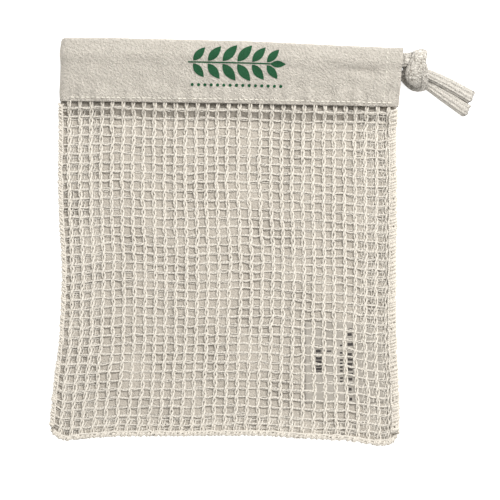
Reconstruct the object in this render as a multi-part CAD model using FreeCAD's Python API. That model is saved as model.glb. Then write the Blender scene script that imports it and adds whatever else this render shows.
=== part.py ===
import FreeCAD, Part
import math
import os

# Drawstring produce bag lying flat: cotton muslin back and band, open leno net front,
# knitted drawstring knotted at the right end of the band.
# +X is along the mouth towards the knot, +Y is from the closed end to the mouth, +Z is up.
# The origin is under the middle of the bag, on the surface that it lies on. Sizes are in mm.

# ---- driving dimensions ----
CLOTH = 0.4                 # muslin
NET = 1.0                   # leno net, across its twisted warp
PLY_GAP = 0.1               # air between plies that lie on each other

BAND_LENGTH = 199.55        # along the mouth
BAND_DEPTH = 36.0           # from the folded top edge to the lower edge
BAND_TILT = -1.3            # degrees, the mouth isn't square to the bag
BAND_CORNER = (-97.0, 118.0)
END_HEM = 10.0              # turned in at the open end of the casing

CORD_WIDTH = 8.4            # knitted tube pressed flat in the casing
CORD_THICK = 2.5
CORD_ROUND = 7.0            # the same tube where it is free
CORD_FROM_TOP = 8.4         # centre of the cord below the folded edge
CORD_PLAY = 0.3

MOUTH_GAP = 4.6             # between the inner plies
CASING_FLAT = 13.5          # full height down to here, then the plies come together
SEAM_START = 31.0           # net and back reach up to here between the plies

EDGE = 1.6                  # overlocked edge along the sides and the closed end
TURNED_SIDE = 20.0          # net turned in along the sides
TURNED_END = 9.0

STITCH = (2.2, 0.45, 0.2)   # length, width, height
STITCH_PITCH = 3.0

LABEL_FROM, LABEL_TO = (45.5, -94.4), (96.0, -47.2)
LABEL_THICK = 0.2

# Outline of the bag below the band, from its left shoulder and round by the closed end.
OUTLINE = [
    (-96.4, 86.0), (-96.2, 40.0), (-95.2, -30.0), (-98.5, -75.0), (-102.5, -104.0),
    (-101.6, -112.5), (-98.0, -116.4), (-86.0, -114.8), (-74.0, -113.0), (52.0, -112.8),
    (84.0, -116.4), (98.0, -118.0), (101.4, -113.5), (101.6, -92.0), (98.8, -35.0),
    (98.6, 45.0), (100.4, 62.0), (101.4, 82.0),
]
LEFT_INSIDE, RIGHT_INSIDE, END_INSIDE = -96.2, 98.6, -113.0

# ---- heights that follow ----
CHANNEL = CLOTH + CORD_THICK + 2 * CORD_PLAY     # an end hem lies in it too
CASING = CHANNEL + 2 * CLOTH
FRONT_LOW = CASING + MOUTH_GAP
TOP = FRONT_LOW + CASING
MIDDLE = TOP / 2
FOLD = CASING / 2

PANEL_LOW = CLOTH + PLY_GAP
PANEL_TOP = PANEL_LOW + CLOTH
BACK_LIP = PANEL_TOP + PLY_GAP
NET_SEAM = FRONT_LOW + CLOTH + PLY_GAP
OUTER_LIP = NET_SEAM + NET + PLY_GAP
LIP_TOP = OUTER_LIP + CLOTH
NET_LOW = 2.3                                    # underside of the net on the back

BEND = MIDDLE - CLOTH - CLOTH - CORD_PLAY - CORD_THICK / 2
BEND_AT = 7.0
CORD_FRONT, CORD_BACK = MIDDLE + BEND, MIDDLE - BEND

Z = FreeCAD.Vector(0, 0, 1)
os.makedirs("parts", exist_ok=True)


def save(name, shapes):
    shape = shapes[0] if len(shapes) == 1 else Part.makeCompound(shapes)
    shape.exportStep("parts/" + name + ".step")
    box = shape.BoundBox
    print(
        f"{name}: {len(shape.Solids)} solids, valid {shape.isValid()}, "
        f"{shape.Volume:.1f} mm3, x {box.XMin:.1f} {box.XMax:.1f}, "
        f"y {box.YMin:.1f} {box.YMax:.1f}, z {box.ZMin:.2f} {box.ZMax:.2f}"
    )


def on_band(shape):
    """From the band's own frame, x along it and -y down it, to the bag's."""
    shape.rotate(FreeCAD.Vector(0, 0, 0), Z, BAND_TILT)
    shape.translate(FreeCAD.Vector(*BAND_CORNER, 0))
    return shape


def strip(points, start, end):
    """A profile of (down, height) points, with arcs as triples, run along the band."""
    place = [FreeCAD.Vector(start, -p[0], p[1]) for p in points]
    edges, n = [], 0
    while n < len(place):
        here, there = place[n], place[(n + 1) % len(place)]
        if len(points[n]) == 3:
            edges.append(Part.Arc(here, there, place[(n + 2) % len(place)]).toShape())
            n += 2
        else:
            edges.append(Part.LineSegment(here, there).toShape())
            n += 1
    face = Part.Face(Part.Wire(edges))
    return face.extrude(FreeCAD.Vector(end - start, 0, 0))


def half_tube(centre, outer, inner, near, far):
    """A half round wall that joins two plies at the closed end of the band."""
    ring = Part.makeCylinder(outer, far - near).cut(Part.makeCylinder(inner, far - near))
    half = ring.common(Part.makeBox(outer, 2 * outer, far - near, FreeCAD.Vector(-outer, -outer, 0)))
    half.rotate(FreeCAD.Vector(0, 0, 0), FreeCAD.Vector(1, 0, 0), 90)
    half.translate(FreeCAD.Vector(centre, -near, MIDDLE))
    return on_band(half)


def sheet(low_profile, thickness):
    """A ply that follows (down, height) points, wider than the bag."""
    above = [(down, height + thickness) for down, height in reversed(low_profile)]
    return on_band(strip(low_profile + above, -25.0, BAND_LENGTH + 25.0))


def prism(face):
    return face.extrude(FreeCAD.Vector(0, 0, 30))


def box(low, high):
    size = [b - a for a, b in zip(low, high)]
    return Part.makeBox(*size, FreeCAD.Vector(*low))


# ---- band: one strip folded along the top edge and round the left end ----
def front_outer():
    profile = [
        (FOLD, FRONT_LOW, "arc"), (0.0, TOP - FOLD), (FOLD, TOP),
        (CASING_FLAT, TOP), (SEAM_START, LIP_TOP), (BAND_DEPTH, LIP_TOP),
        (BAND_DEPTH, OUTER_LIP), (SEAM_START, OUTER_LIP), (CASING_FLAT, TOP - CLOTH),
        (FOLD, TOP - CLOTH, "arc"), (CLOTH, TOP - FOLD), (FOLD, FRONT_LOW + CLOTH),
    ]
    return on_band(strip(profile, MIDDLE, BAND_LENGTH))


def back_outer():
    profile = [
        (FOLD, CASING, "arc"), (0.0, FOLD), (FOLD, 0.0), (BAND_DEPTH, 0.0),
        (BAND_DEPTH, CLOTH), (FOLD, CLOTH, "arc"), (CLOTH, FOLD), (FOLD, CASING - CLOTH),
    ]
    return on_band(strip(profile, MIDDLE, BAND_LENGTH))


def inner_ply(high, lip):
    path = [(FOLD, high), (SEAM_START - 6.0, high), (SEAM_START + 2.0, lip), (BAND_DEPTH, lip)]
    if high == lip:
        path = [path[0], path[-1]]
    above = [(down, height + CLOTH) for down, height in reversed(path)]
    return on_band(strip(path + above, BEND_AT, BAND_LENGTH))


def end_hem(low):
    clear = FOLD + 0.5
    flat = [(clear, low), (CASING_FLAT, low), (CASING_FLAT, low + CLOTH), (clear, low + CLOTH)]
    return on_band(strip(flat, BAND_LENGTH - END_HEM, BAND_LENGTH))


def seam_stitches(start, low):
    """A row of stitches along the lower edge of the band."""
    row = []
    for n in range(int((BAND_LENGTH - 1.0 - start) / STITCH_PITCH)):
        corner = FreeCAD.Vector(start + n * STITCH_PITCH, 2.0 - BAND_DEPTH, low)
        row.append(on_band(Part.makeBox(*STITCH, corner)))
    return row


def film_on_front(thickness):
    """A thin ply that lies on the outside of the front of the band."""
    rise = 0.02
    path = [
        (FOLD, TOP + rise), (CASING_FLAT, TOP + rise),
        (SEAM_START, LIP_TOP + rise), (BAND_DEPTH, LIP_TOP + rise),
    ]
    return sheet(path, thickness)


def end_stitches():
    """A row of stitches down the front of the band, through its turned-in end."""
    at, film, row = BAND_LENGTH - END_HEM + 1.0, film_on_front(STITCH[2]), []
    for n in range(int((BAND_DEPTH - FOLD - 3.0) / STITCH_PITCH)):
        down = FOLD + n * STITCH_PITCH + STITCH[0]
        row.append(on_band(box((at, -down, 0), (at + STITCH[1], STITCH[0] - down, 30))).common(film))
    return row


# ---- panels, turned-in net and overlocked edges ----
def panel_faces():
    """The outline below the band as a face, and the same without its overlocked edge."""
    corners = [FreeCAD.Vector(x, y, 0) for x, y in OUTLINE]
    whole = Part.Face(Part.makePolygon(corners + corners[:1]))
    return whole, whole.makeOffset2D(-EDGE)


# ---- drawstring ----
def cord_run(height):
    """The cord pressed flat, straight through one side of the casing and into the knot."""
    start = FreeCAD.Vector(BEND_AT, -CORD_FROM_TOP - CORD_WIDTH / 2, height - CORD_THICK / 2)
    return on_band(Part.makeBox(BAND_LENGTH + 3.0 - BEND_AT, CORD_WIDTH, CORD_THICK, start))


def rounded_route(points):
    """Straight runs joined by tangent arcs, each as large as its two runs allow."""
    points = [FreeCAD.Vector(*p) for p in points]
    edges, start = [], points[0]
    for before, corner, after in zip(points, points[1:], points[2:]):
        back, on = (before - corner), (after - corner)
        turn = math.pi - back.getAngle(on)
        reach = 0.45 * min(back.Length, on.Length)
        radius = reach / math.tan(turn / 2)
        print(f"   arc radius {radius:.1f} mm, turn {math.degrees(turn):.0f} degrees")
        back.normalize()
        on.normalize()
        enter, leave = corner + back * reach, corner + on * reach
        middle = (back + on).normalize()
        centre = corner + middle * (radius / math.cos(turn / 2))
        top = centre - middle * radius
        edges += [Part.LineSegment(start, enter).toShape(), Part.Arc(enter, top, leave).toShape()]
        start = leave
    edges.append(Part.LineSegment(start, points[-1]).toShape())
    return Part.Wire(edges)


def tail(points):
    wire = rounded_route(points)
    first = FreeCAD.Vector(*points[0])
    ring = Part.makeCircle(CORD_ROUND / 2, first, FreeCAD.Vector(*points[1]) - first)
    tube = wire.makePipeShell([Part.Wire([ring])], True, True)
    section = math.pi * CORD_ROUND**2 / 4
    print(f"   tail length {wire.Length:.1f} mm, volume share {tube.Volume / wire.Length / section:.3f}")
    return tube


# Routes of the two free ends, from inside the knot to the cut end, resting on the surface.
TAIL_UPPER = [(112.0, 98.6, 8.4), (119.5, 95.4, 7.0), (130.5, 90.0, 4.2), (142.6, 83.2, 3.6)]
TAIL_LOWER = [(112.0, 94.4, 5.4), (118.5, 90.4, 4.4), (127.5, 84.0, 3.6), (139.2, 76.0, 3.65)]


def knot():
    """Overhand knot of both strands: two turns round the strands that pass through."""
    through = FreeCAD.Vector(1.0, -0.3, 0.0)
    centre = FreeCAD.Vector(110.6, 99.3, MIDDLE)
    core = Part.makeCylinder(4.6, 12.4, centre - FreeCAD.Vector(5.8, -1.8, 0), through)
    upper = Part.makeTorus(3.1, 2.9, centre + FreeCAD.Vector(1.4, 4.6, 0.2), FreeCAD.Vector(1.0, 0.35, 0.1))
    lower = Part.makeTorus(3.1, 2.9, centre + FreeCAD.Vector(-0.6, -4.4, -0.2), FreeCAD.Vector(1.0, -0.5, -0.1))
    return core.fuse([upper, lower]).removeSplitter()


# ---- printed motif: a generic leaf sprig over a row of dots ----
INK = 0.06
SPRIG_FROM, SPRIG_LENGTH, SPRIG_DOWN = 77.0, 55.0, 13.0
DOTS_DOWN, DOT_PITCH, DOT_RADIUS = 24.5, 3.6, 0.55


def leaf(along, down, length, angle):
    """A pointed leaf that starts at a place on the band and points at an angle."""
    tip, side = FreeCAD.Vector(length, 0, 0), length * 0.2
    foot = FreeCAD.Vector(0, 0, 0)
    blade = Part.Face(Part.Wire([
        Part.Arc(foot, FreeCAD.Vector(length / 2, side, 0), tip).toShape(),
        Part.Arc(tip, FreeCAD.Vector(length / 2, -side, 0), foot).toShape(),
    ]))
    blade.rotate(foot, Z, angle)
    blade.translate(FreeCAD.Vector(along, -down, 0))
    return on_band(prism(blade))


def printed_motif():
    shapes = [leaf(SPRIG_FROM + SPRIG_LENGTH - 9.0, SPRIG_DOWN, 9.0, 0.0)]
    for n in range(6):
        along = SPRIG_FROM + 2.0 + n * (SPRIG_LENGTH - 12.0) / 5
        length = 10.0 - abs(n - 2.5)
        shapes.append(leaf(along, SPRIG_DOWN - 0.8, length, 50.0))
        shapes.append(leaf(along, SPRIG_DOWN + 0.8, length, -50.0))
    for n in range(15):
        dot = Part.Face(Part.Wire([Part.makeCircle(DOT_RADIUS)]))
        dot.translate(FreeCAD.Vector(SPRIG_FROM + 2.0 + n * DOT_PITCH, -DOTS_DOWN, 0))
        shapes.append(on_band(prism(dot)))
    film = film_on_front(INK)
    return [shape.common(film) for shape in shapes]


# ---- make and save ----
DOWN_ALL = BAND_DEPTH + 215.0
whole_face, panel_face = panel_faces()
net_path = [
    (SEAM_START, NET_SEAM), (BAND_DEPTH + 0.5, NET_SEAM), (BAND_DEPTH + 6.0, NET_SEAM - 2.0),
    (BAND_DEPTH + 19.0, NET_LOW), (DOWN_ALL, NET_LOW),
]
net_ply = sheet(net_path, NET)
turned_ply = sheet([(down, height - 0.9) for down, height in net_path[2:]], 0.8)
back_ply = sheet([(SEAM_START, PANEL_LOW), (DOWN_ALL, PANEL_LOW)], CLOTH)
edge_low = [(net_path[1][0], 0.0), (DOWN_ALL, 0.0)]
edge_high = [(down, height + NET) for down, height in reversed(net_path[1:])]
edge_slab = on_band(strip(edge_low + edge_high, -25.0, BAND_LENGTH + 25.0))

save("front_band_outer", [front_outer()])
save("front_band_inner", [inner_ply(FRONT_LOW, FRONT_LOW)])
save("back_band_outer", [back_outer()])
save("back_band_inner", [inner_ply(CASING - CLOTH, BACK_LIP)])
inner = MOUTH_GAP / 2
save("band_outer_left_fold", [half_tube(MIDDLE, MIDDLE, MIDDLE - CLOTH, FOLD, SEAM_START)])
save("band_inner_left_fold", [half_tube(BEND_AT, inner + CLOTH, inner, FOLD, SEAM_START - 6.0)])
save("front_band_end_hem", [end_hem(TOP - 2 * CLOTH)])
save("back_band_end_hem", [end_hem(CLOTH)])
save("front_band_topstitch", seam_stitches(MIDDLE, LIP_TOP + 0.02))
save("back_band_topstitch", seam_stitches(BEND_AT, BACK_LIP + CLOTH + 0.02))
save("front_band_end_stitch", end_stitches())

save("front_net_panel", [prism(panel_face).common(net_ply)])
save("back_panel", [prism(panel_face).common(back_ply)])
turned = prism(panel_face).common(turned_ply)
left, right, end = LEFT_INSIDE + TURNED_SIDE, RIGHT_INSIDE - TURNED_SIDE, END_INSIDE + TURNED_END
FAR = 150.0
save("left_net_turn_in", [turned.common(box((-FAR, -FAR, -1), (left, FAR, 40)))])
save("right_net_turn_in", [turned.common(box((right, -FAR, -1), (FAR, FAR, 40)))])
save("end_net_turn_in", [turned.common(box((left, -FAR, -1), (right, end, 40)))])

edging = prism(whole_face).cut(prism(panel_face)).common(edge_slab)
corner = -110.5
save("left_overlocked_edge", [edging.common(box((-FAR, corner, -1), (-85, FAR, 40)))])
save("right_overlocked_edge", [edging.common(box((85, corner, -1), (FAR, FAR, 40)))])
save("end_overlocked_edge", [edging.common(box((-FAR, -FAR, -1), (FAR, corner, 40)))])

label_low = PANEL_TOP + 0.03
label_top = label_low + LABEL_THICK
save("care_label", [box((*LABEL_FROM, label_low), (*LABEL_TO, label_top))])
label_stitches = []
for n in range(15):
    foot = (LABEL_TO[0] - 2.0, LABEL_FROM[1] + 1.5 + n * STITCH_PITCH, label_top + 0.01)
    label_stitches.append(box(foot, (foot[0] + STITCH[1], foot[1] + STITCH[0], foot[2] + 0.1)))
save("care_label_stitch", label_stitches)
save("printed_motif", printed_motif())

save("drawstring_front_run", [cord_run(CORD_FRONT)])
save("drawstring_back_run", [cord_run(CORD_BACK)])
save("drawstring_bend", [half_tube(
    BEND_AT, BEND + CORD_THICK / 2, BEND - CORD_THICK / 2,
    CORD_FROM_TOP - CORD_WIDTH / 2, CORD_FROM_TOP + CORD_WIDTH / 2,
)])
save("drawstring_knot", [knot()])
save("drawstring_tail_upper", [tail(TAIL_UPPER)])
save("drawstring_tail_lower", [tail(TAIL_LOWER)])
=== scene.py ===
import math

import bpy
import numpy as np
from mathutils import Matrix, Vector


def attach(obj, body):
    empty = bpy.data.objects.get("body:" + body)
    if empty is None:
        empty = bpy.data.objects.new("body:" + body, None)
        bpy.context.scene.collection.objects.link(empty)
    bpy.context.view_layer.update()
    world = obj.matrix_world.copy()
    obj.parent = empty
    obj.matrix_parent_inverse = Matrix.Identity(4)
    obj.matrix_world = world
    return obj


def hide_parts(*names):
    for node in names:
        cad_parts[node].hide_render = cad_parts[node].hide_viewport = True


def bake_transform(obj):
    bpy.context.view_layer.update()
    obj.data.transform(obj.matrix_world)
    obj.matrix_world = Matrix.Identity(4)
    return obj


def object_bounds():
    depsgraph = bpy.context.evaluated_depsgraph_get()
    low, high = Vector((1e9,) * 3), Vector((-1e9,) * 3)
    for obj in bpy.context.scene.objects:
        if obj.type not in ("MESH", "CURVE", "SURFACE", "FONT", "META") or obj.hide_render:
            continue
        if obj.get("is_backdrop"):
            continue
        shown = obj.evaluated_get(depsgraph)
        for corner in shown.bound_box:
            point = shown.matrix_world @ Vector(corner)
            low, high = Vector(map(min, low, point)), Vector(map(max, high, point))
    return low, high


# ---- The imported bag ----
# The frame that the pieces are laid on: a drawstring produce bag that lies flat on its back.
# x runs along the mouth to the knot, y from the closed end to the mouth, z up from the table.
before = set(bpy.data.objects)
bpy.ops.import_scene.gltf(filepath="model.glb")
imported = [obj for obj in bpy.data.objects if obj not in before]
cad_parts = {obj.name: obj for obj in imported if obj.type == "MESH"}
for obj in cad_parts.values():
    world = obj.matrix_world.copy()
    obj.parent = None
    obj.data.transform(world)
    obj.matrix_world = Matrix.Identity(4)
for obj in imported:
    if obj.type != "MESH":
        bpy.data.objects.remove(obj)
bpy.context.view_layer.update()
bpy.ops.object.select_all(action="DESELECT")
MM = 0.001


# ---- Camera ----
# Straight above the bag and far off, so that the bag is seen flat and square.
camera = bpy.data.objects.new("camera", bpy.data.cameras.new("camera"))
bpy.context.scene.collection.objects.link(camera)
CAMERA_UP, FIELD = 2.4, 0.2915
camera.location = (0.0134, -0.00525, CAMERA_UP)
camera.data.sensor_width = 36.0
camera.data.lens = 36.0 * CAMERA_UP / FIELD
camera.data.clip_start = 0.05
bpy.context.scene.camera = camera


# ---- Drawstring ----
# One knitted cotton tube cord, pressed flat where it runs through both sides of the casing.
# Its two strands leave the right end of the casing and are tied in an overhand knot, and
# the cut ends lie side by side on the table.
class Flow:
    """A socket of a finish, with sums written as on paper."""

    def __init__(self, finish, socket):
        self.finish, self.socket = finish, socket

    def sum(self, operation, first, second=0.0):
        return self.finish.node("ShaderNodeMath", {"operation": operation}, {0: first, 1: second})

    def __add__(self, other):
        return self.sum("ADD", self, other)

    def __radd__(self, other):
        return self.sum("ADD", other, self)

    def __sub__(self, other):
        return self.sum("SUBTRACT", self, other)

    def __rsub__(self, other):
        return self.sum("SUBTRACT", other, self)

    def __mul__(self, other):
        return self.sum("MULTIPLY", self, other)

    def __rmul__(self, other):
        return self.sum("MULTIPLY", other, self)

    def sine(self):
        return self.sum("SINE", self)

    def part(self):
        return self.sum("FRACT", self)

    def swing(self, top):
        return self.sum("PINGPONG", self, top)

    def least(self, other):
        return self.sum("MINIMUM", self, other)

    def most(self, other):
        return self.sum("MAXIMUM", self, other)


class Finish:
    """A material and the one way that its nodes are made."""

    def __init__(self, name, roughness, sheen=0.0):
        self.material = bpy.data.materials.new(name)
        self.material.use_nodes = True
        self.tree = self.material.node_tree
        self.shader = self.tree.nodes["Principled BSDF"]
        self.shader.inputs["Roughness"].default_value = roughness
        self.shader.inputs["Sheen Weight"].default_value = sheen
        self.shader.inputs["Sheen Roughness"].default_value = 0.5
        self.shader.inputs["Specular IOR Level"].default_value = 0.25

    def node(self, kind, settings=None, inputs=None, out=0):
        made = self.tree.nodes.new(kind)
        for name, value in (settings or {}).items():
            setattr(made, name, value)
        for name, value in (inputs or {}).items():
            self.put(made.inputs[name], value)
        return Flow(self, made.outputs[out])

    def put(self, socket, value):
        if isinstance(value, Flow):
            self.tree.links.new(value.socket, socket)
        else:
            socket.default_value = value

    def along_and_round(self):
        """The two coordinates of the piece's own map, in metres along it."""
        place = self.node("ShaderNodeUVMap", {"uv_map": "lay"})
        parts = self.tree.nodes.new("ShaderNodeSeparateXYZ")
        self.tree.links.new(place.socket, parts.inputs[0])
        return place, Flow(self, parts.outputs[0]), Flow(self, parts.outputs[1])

    def cloudy(self, place, scale, detail=2.0, rough=0.5):
        """Soft noise from 0 to 1 with so many clouds to a metre, along and across."""
        spread = self.node(
            "ShaderNodeMapping", {"vector_type": "POINT"},
            {"Vector": place, "Scale": (scale[0], scale[1], 1.0)},
        )
        return self.node(
            "ShaderNodeTexNoise", {"noise_dimensions": "2D"},
            {"Vector": spread, "Scale": 1.0, "Detail": detail, "Roughness": rough},
        )

    def blend(self, amount, first, second):
        """The first colour where the amount is 0, the second where it is 1."""
        return self.node(
            "ShaderNodeMix", {"data_type": "RGBA"},
            {"Factor": amount, 6: first, 7: second}, out=2,
        )

    def colour(self, value):
        self.put(self.shader.inputs["Base Color"], value)

    def relief(self, height, distance):
        """A relief as deep as that distance in metres, where the height goes from 0 to 1."""
        bump = self.node("ShaderNodeBump", {}, {"Height": height, "Distance": distance, "Strength": 1.0})
        self.put(self.shader.inputs["Normal"], bump)


def piece_of(name, points, faces, lay, finish):
    """A mesh piece from its corners, its faces and the map that its pattern follows."""
    mesh = bpy.data.meshes.new(name)
    mesh.from_pydata(points.tolist(), [], faces)
    layer = mesh.uv_layers.new(name="lay")
    layer.data.foreach_set("uv", np.asarray(lay, np.float32).ravel())
    mesh.shade_smooth()
    mesh.materials.append(finish.material)
    piece = bpy.data.objects.new(name, mesh)
    bpy.context.scene.collection.objects.link(piece)
    return piece


BAND_CORNER, BAND_TILT = (-97.0, 118.0), math.radians(-1.3)
BAND_LENGTH, BAND_DEPTH = 199.55, 36.0
ALONG_BAND = np.array([math.cos(BAND_TILT), math.sin(BAND_TILT)])
DOWN_BAND = np.array([math.sin(BAND_TILT), -math.cos(BAND_TILT)])
# The band isn't quite straight: how far down its folded and its lower edge lie, along it.
BOW_ALONG = (0.0, 30.0, 110.0, 137.0, 165.0, 193.0, 200.0)
BOW_HIGH = (0.0, -0.7, -0.6, 0.0, 0.8, 1.3, 1.0)
BOW_LOW = (0.2, -0.2, -0.8, -0.8, -0.9, -0.9, -0.8)


def on_band(along, down, height):
    """From the band's own frame, along it and down from its folded edge, to the bag's, in mm."""
    low = down / BAND_DEPTH
    bow_high, bow_low = np.interp(along, BOW_ALONG, BOW_HIGH), np.interp(along, BOW_ALONG, BOW_LOW)
    down = down + bow_high * (1.0 - low) + bow_low * low
    along = along * (1.0 - 0.01 * low)
    return (
        BAND_CORNER[0] + along * ALONG_BAND[0] + down * DOWN_BAND[0],
        BAND_CORNER[1] + along * ALONG_BAND[1] + down * DOWN_BAND[1],
        height,
    )


# Each point of the cord's route in mm, then the way its width lies, its width and its height:
# one tail, its strand of the knot, both runs in the casing, the other strand, the other tail.
CORD_DOWN, CORD_FRONT, CORD_BACK = 8.4, 10.85, 2.35
ACROSS_TAIL, UPRIGHT, LEVEL = (0.47, 0.88, 0.0), (0.0, 1.0, 0.0), (1.0, 0.15, 0.0)
ROUTE = [
    ((143.2, 82.9, 3.6), ACROSS_TAIL, 8.0, 6.6),
    ((130.5, 90.2, 4.2), ACROSS_TAIL, 7.4, 6.8),
    ((119.5, 95.6, 7.0), ACROSS_TAIL, 6.4, 6.6),
    ((112.0, 98.4, 8.2), ACROSS_TAIL, 5.0, 5.0),
    ((103.4, 99.0, 5.4), (0.3, 1.0, 0.0), 8.4, 4.0),
    ((103.6, 95.8, 3.6), LEVEL, 6.8, 3.8),
    ((109.4, 89.6, 3.2), LEVEL, 6.4, 3.6),
    ((113.8, 88.2, 8.6), LEVEL, 4.6, 3.8),
    ((115.0, 94.0, 13.6), LEVEL, 4.0, 3.8),
    ((113.8, 102.0, 10.4), LEVEL, 5.4, 3.4),
    ((110.4, 105.4, 8.0), (0.8, 0.6, 0.0), 6.4, 3.6),
    ((106.6, 105.0, 8.8), UPRIGHT, 6.8, 3.6),
    ((104.6, 105.0, 11.4), UPRIGHT, 7.2, 3.6),
    ((102.0, 105.05, 10.85), UPRIGHT, 8.0, 2.8),
    (on_band(186.0, CORD_DOWN, CORD_FRONT), UPRIGHT, 8.4, 2.6),
    (on_band(16.0, CORD_DOWN, CORD_FRONT), UPRIGHT, 8.4, 2.6),
    (on_band(2.4, CORD_DOWN, CORD_FRONT), UPRIGHT, 8.4, 2.6),
    (on_band(2.4, CORD_DOWN, CORD_BACK), UPRIGHT, 8.4, 2.6),
    (on_band(16.0, CORD_DOWN, CORD_BACK), UPRIGHT, 8.4, 2.6),
    (on_band(186.0, CORD_DOWN, CORD_BACK), UPRIGHT, 8.4, 2.6),
    ((102.0, 105.05, 2.35), UPRIGHT, 8.3, 2.8),
    ((106.4, 105.6, 2.2), UPRIGHT, 7.6, 3.4),
    ((110.6, 107.0, 2.2), LEVEL, 7.6, 3.8),
    ((112.6, 110.2, 4.4), LEVEL, 7.8, 4.2),
    ((112.2, 108.4, 11.8), LEVEL, 8.2, 4.6),
    ((110.3, 102.4, 12.8), LEVEL, 9.2, 4.8),
    ((108.2, 96.6, 12.6), (0.95, -0.3, 0.0), 9.6, 4.8),
    ((109.4, 91.2, 9.2), (0.85, -0.52, 0.0), 8.6, 4.4),
    ((110.8, 91.4, 3.4), (0.85, -0.52, 0.0), 7.4, 3.8),
    ((111.8, 95.0, 2.0), LEVEL, 7.6, 3.2),
    ((109.0, 99.5, 2.8), LEVEL, 6.0, 3.2),
    ((107.0, 97.4, 5.4), UPRIGHT, 5.0, 3.6),
    ((111.4, 94.2, 5.6), ACROSS_TAIL, 5.0, 4.6),
    ((118.5, 90.0, 4.6), ACROSS_TAIL, 6.2, 6.4),
    ((127.5, 83.8, 3.8), ACROSS_TAIL, 7.2, 6.8),
    ((140.8, 74.8, 3.6), ACROSS_TAIL, 7.8, 6.6),
]


def route_line(points, steps):
    """The smooth line that a cord takes along the points of its route."""
    curve = bpy.data.curves.new("route", "CURVE")
    curve.dimensions = "3D"
    spline = curve.splines.new("NURBS")
    spline.points.add(len(points) - 1)
    for point, place in zip(spline.points, points):
        point.co = (place[0] * MM, place[1] * MM, place[2] * MM, 1.0)
    spline.order_u = 3
    spline.use_endpoint_u = True
    spline.resolution_u = steps
    holder = bpy.data.objects.new("route", curve)
    mesh = bpy.data.meshes.new_from_object(holder)
    line = np.array([v.co for v in mesh.vertices])
    bpy.data.objects.remove(holder)
    bpy.data.curves.remove(curve)
    bpy.data.meshes.remove(mesh)
    return line


def unit(vectors):
    return vectors / np.linalg.norm(vectors, axis=-1, keepdims=True)


cord_line = route_line([p[0] for p in ROUTE], 16)
halfway = np.array([0.0] + [n + 0.5 for n in range(len(ROUTE) - 2)] + [len(ROUTE) - 2.0])
where = np.linspace(0.0, len(ROUTE) - 2.0, len(cord_line))
cord_across = np.stack([np.interp(where, halfway, [p[1][k] for p in ROUTE]) for k in range(3)], 1)
cord_wide = np.interp(where, halfway, [p[2] for p in ROUTE]) * MM
cord_high = np.interp(where, halfway, [p[3] for p in ROUTE]) * MM
cord_ahead = unit(np.gradient(cord_line, axis=0))
cord_across = unit(cord_across - cord_ahead * (cord_across * cord_ahead).sum(1, keepdims=True))
cord_up = np.cross(cord_ahead, cord_across)
cord_run = np.concatenate([[0.0], np.cumsum(np.linalg.norm(np.diff(cord_line, axis=0), axis=1))])

RIBS, ROUND = 12, 84
SQUARENESS = 0.8
turn = np.linspace(0.0, 2 * math.pi, ROUND, endpoint=False)
flat_x = np.sign(np.cos(turn)) * np.abs(np.cos(turn)) ** SQUARENESS
flat_y = np.sign(np.sin(turn)) * np.abs(np.sin(turn)) ** SQUARENESS
rib = 1.0 + 0.07 * np.cos(RIBS * turn) - 0.05 * np.cos(turn * 3 + 1.0) ** 6
rings = (
    cord_line[:, None, :]
    + cord_across[:, None, :] * (cord_wide[:, None] / 2 * flat_x * rib)[:, :, None]
    + cord_up[:, None, :] * (cord_high[:, None] / 2 * flat_y * rib)[:, :, None]
)
rings[:, :, 2] = np.maximum(rings[:, :, 2], 0.15 * MM)
# The cut ends are ragged, and a lip of each is turned in to close the tube.
ragged = np.random.default_rng(5)
for end, way in ((0, 1.0), (-1, -1.0)):
    lobes = 0.55 * np.cos(turn * 2 + 1.0 + end) + 0.45 * np.cos(turn * 3 + 2.0 - end)
    lobes = lobes + 0.25 * np.cos(turn * RIBS)
    fray = (0.9 + lobes + ragged.uniform(-0.25, 0.25, ROUND)) * MM
    rings[end] += cord_ahead[end] * (way * fray)[:, None]
LIP_SHARE, LIP_DEPTH, LIP_RUN = 0.55, 0.8 * MM, 0.002
lip_start = cord_line[0] + (rings[0] - cord_line[0]) * LIP_SHARE + cord_ahead[0] * LIP_DEPTH
lip_stop = cord_line[-1] + (rings[-1] - cord_line[-1]) * LIP_SHARE - cord_ahead[-1] * LIP_DEPTH
cord_rings = np.concatenate([lip_start[None], rings, lip_stop[None]])
cord_runs = np.concatenate([[-LIP_RUN], cord_run, [cord_run[-1] + LIP_RUN]])
count = len(cord_rings)
cord_points = np.concatenate([cord_rings.reshape(-1, 3), [cord_line[2], cord_line[-3]]])
faces, lay = [], []
for n in range(count - 1):
    for k in range(ROUND):
        after = (k + 1) % ROUND
        faces.append((n * ROUND + k, n * ROUND + after, (n + 1) * ROUND + after, (n + 1) * ROUND + k))
        low, high = k / ROUND, (k + 1) / ROUND
        here, there = cord_runs[n], cord_runs[n + 1]
        lay += [(here, low), (here, high), (there, high), (there, low)]
for k in range(ROUND):
    after = (k + 1) % ROUND
    faces.append((after, k, count * ROUND))
    faces.append(((count - 1) * ROUND + k, (count - 1) * ROUND + after, count * ROUND + 1))
    lay += [(0.0, k / ROUND)] * 6

knit = Finish("knitted cotton", 0.92, 0.25)
place, along, around = knit.along_and_round()
# Rows of knitting to a metre, slanting down both sides of each rib, under a cotton fluff.
KNIT_ROWS, TURN = 780.0, 6.283
slanting = (around * RIBS).part().swing(0.5)
stitch = ((along * KNIT_ROWS + slanting * 1.4) * TURN).sine()
fluff = knit.cloudy(place, (720.0, 17.0), 3.0, 0.75)
knit.relief(stitch * 0.15 + fluff * 1.6, 0.0010)
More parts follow.
